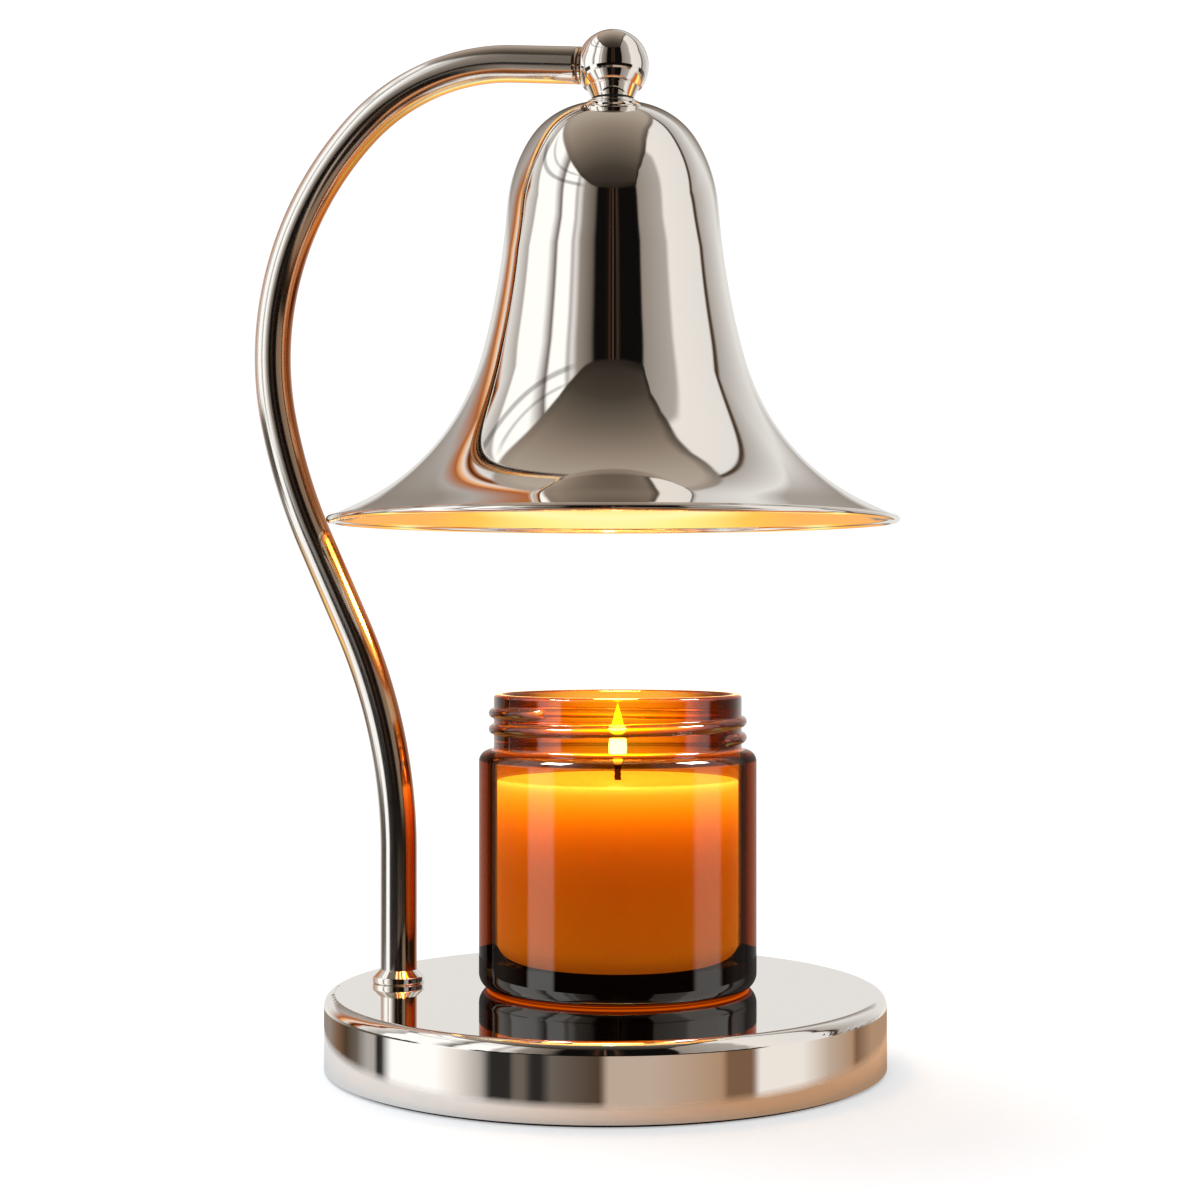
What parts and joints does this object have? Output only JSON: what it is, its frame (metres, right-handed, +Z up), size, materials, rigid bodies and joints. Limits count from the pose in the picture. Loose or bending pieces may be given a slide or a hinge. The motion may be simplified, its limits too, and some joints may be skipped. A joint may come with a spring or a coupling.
{
  "type": "candle warmer lamp",
  "caption": "Candle warmer lamp: disc base, swan-neck arm, ball joint and polished bell shade over a screw-neck jar candle; the shade tilts and swivels.",
  "frame": {"origin": "centre of the base's underside, on the table", "axes": "+Z up; the arm stands on the -X side and lies in the XZ plane; the cord inlet faces +Y"},
  "size_m": [0.1772, 0.1528, 0.2773],
  "materials": {
    "mirror_nickel": "mirror polished warm nickel plate",
    "satin_nickel": "soft polished warm nickel plate",
    "cast_weight": "rough casting, painted black",
    "zinc_steel": "zinc plated",
    "foam_pad": "matt closed-cell foam",
    "black_nylon": "fine grain",
    "white_nylon": "fine grain",
    "brass": "machined",
    "lead_sheath": "smooth sheath",
    "lamp_ceramic": "unglazed white steatite",
    "reflector_coat": "faceted aluminised glass",
    "clear_glass": "clear",
    "tungsten": "glowing coil",
    "amber_glass": "smooth amber soda glass",
    "wax": "poured soy wax",
    "cotton": "braided, charred tip",
    "tin_plate": "bright tin plate"
  },
  "bodies": {
    "base": {"base_shell": "mirror_nickel", "base_weight": "cast_weight", "bottom_plate": "zinc_steel", "base_pad": "foam_pad", "cord_bushing": "black_nylon", "cord_bushing_nut": "black_nylon", "terminal_block": "white_nylon", "earth_tag": "brass", "earth_screw": "zinc_steel", "stem_collar": "mirror_nickel", "stem_nipple": "zinc_steel", "stem_washer": "zinc_steel", "stem_nut": "zinc_steel", "arm_tube": "satin_nickel", "arm_lead": "lead_sheath", "arm_spigot": "satin_nickel", "wave_washer": "mirror_nickel", "bottom_screw_1": "zinc_steel", "bottom_screw_2": "zinc_steel", "bottom_screw_3": "zinc_steel", "terminal_screw_1": "zinc_steel", "terminal_screw_2": "zinc_steel", "terminal_screw_3": "zinc_steel", "terminal_screw_4": "zinc_steel", "terminal_tube_1": "brass", "terminal_tube_2": "brass"},
    "ball": {"joint_ball": "mirror_nickel", "stop_screw": "zinc_steel", "head_nipple": "zinc_steel", "gap_washer": "black_nylon", "friction_washer": "zinc_steel", "nipple_nut": "zinc_steel", "ball_lead": "lead_sheath"},
    "head": {"shade": "mirror_nickel", "shade_flange": "mirror_nickel", "lampholder_bracket": "zinc_steel", "lampholder": "lamp_ceramic", "holder_contact_1": "brass", "holder_contact_2": "brass", "holder_screw_1": "zinc_steel", "holder_screw_2": "zinc_steel", "holder_lead": "lead_sheath"},
    "bulb": {"bulb_base": "lamp_ceramic", "bulb_reflector": "reflector_coat", "bulb_lens": "clear_glass", "bulb_capsule": "clear_glass", "bulb_filament": "tungsten", "bulb_pin_1": "zinc_steel", "bulb_pin_2": "zinc_steel"},
    "candle": {"candle_jar": "amber_glass", "candle_wax": "wax", "wick_tab": "tin_plate", "candle_wick": "cotton"}
  },
  "joints": [
    {"name": "shade_tilt", "type": "hinge", "parent": "base", "child": "ball", "pos_m": [0.002, 0, 0.2676], "axis": [0.9976, 0, -0.0698], "range_deg": [-30, 30]},
    {"name": "shade_swivel", "type": "hinge", "parent": "ball", "child": "head", "pos_m": [0.002, 0, 0.2583], "axis": [0, 0, 1], "range_deg": [-170, 170]},
    {"name": "bulb_twist", "type": "hinge", "parent": "head", "child": "bulb", "pos_m": [0.002, 0, 0.2329], "axis": [0, 0, 1], "range_deg": [0, 20]},
    {"name": "candle_slide", "type": "slide", "parent": "base", "child": "candle", "axis": [1, 0, 0], "range_m": [0, 0.034]}
  ]
}
